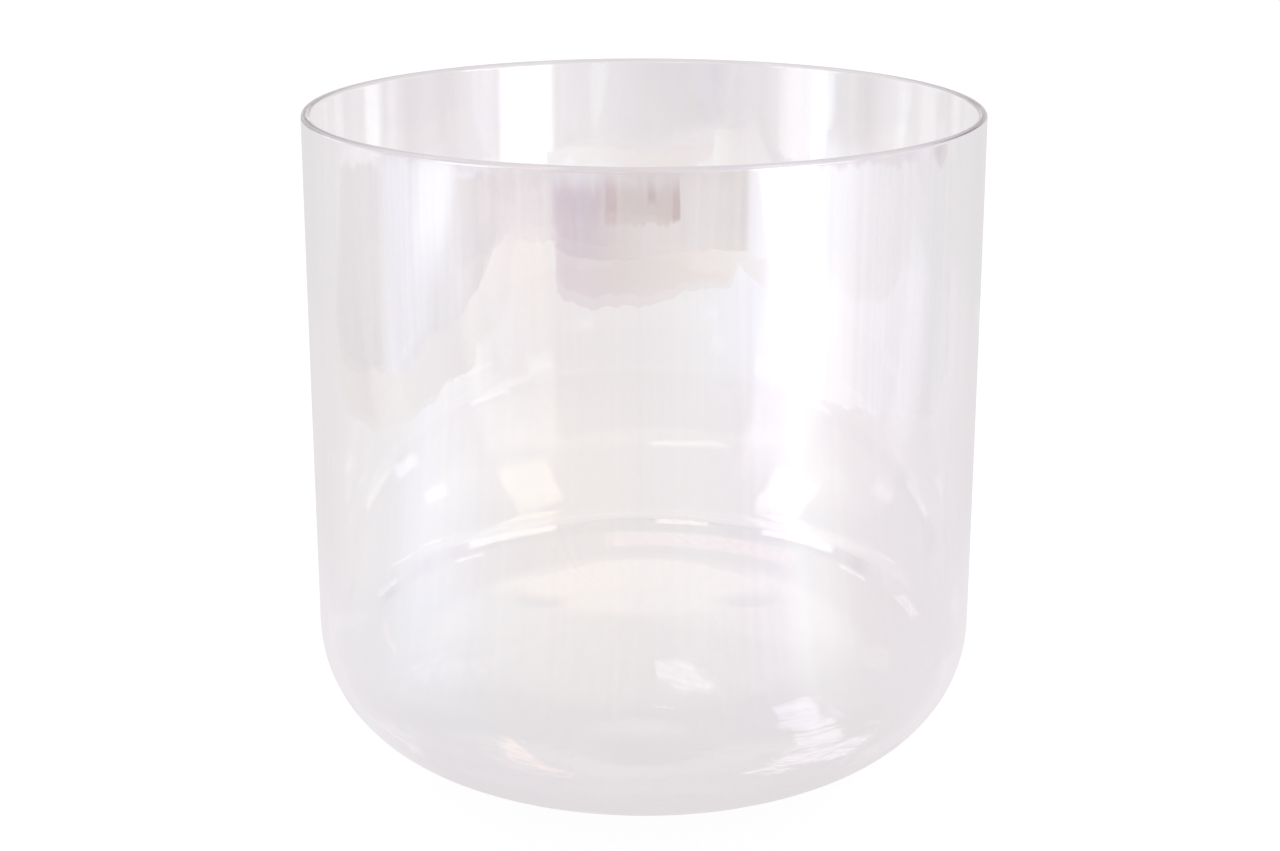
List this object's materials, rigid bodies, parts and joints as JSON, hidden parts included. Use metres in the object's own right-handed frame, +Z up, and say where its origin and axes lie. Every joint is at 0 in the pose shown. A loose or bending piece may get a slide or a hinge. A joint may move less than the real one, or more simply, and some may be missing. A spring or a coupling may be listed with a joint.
{
  "type": "singing bowl",
  "caption": "Deep parallel-sided bowl of clear, faintly iridescent fused quartz with a rounded base, a small resting flat and a full-round fire-polished lip.",
  "frame": {"origin": "centre of the flat on which the bowl rests", "axes": "+Z up along the bowl's axis of revolution, from the resting flat to the lip; +X and +Y are free, as the bowl is round"},
  "size_m": [0.254, 0.254, 0.2615],
  "materials": {
    "quartz": "gloss"
  },
  "bodies": {
    "root": {"bowl": "quartz"}
  },
  "joints": []
}
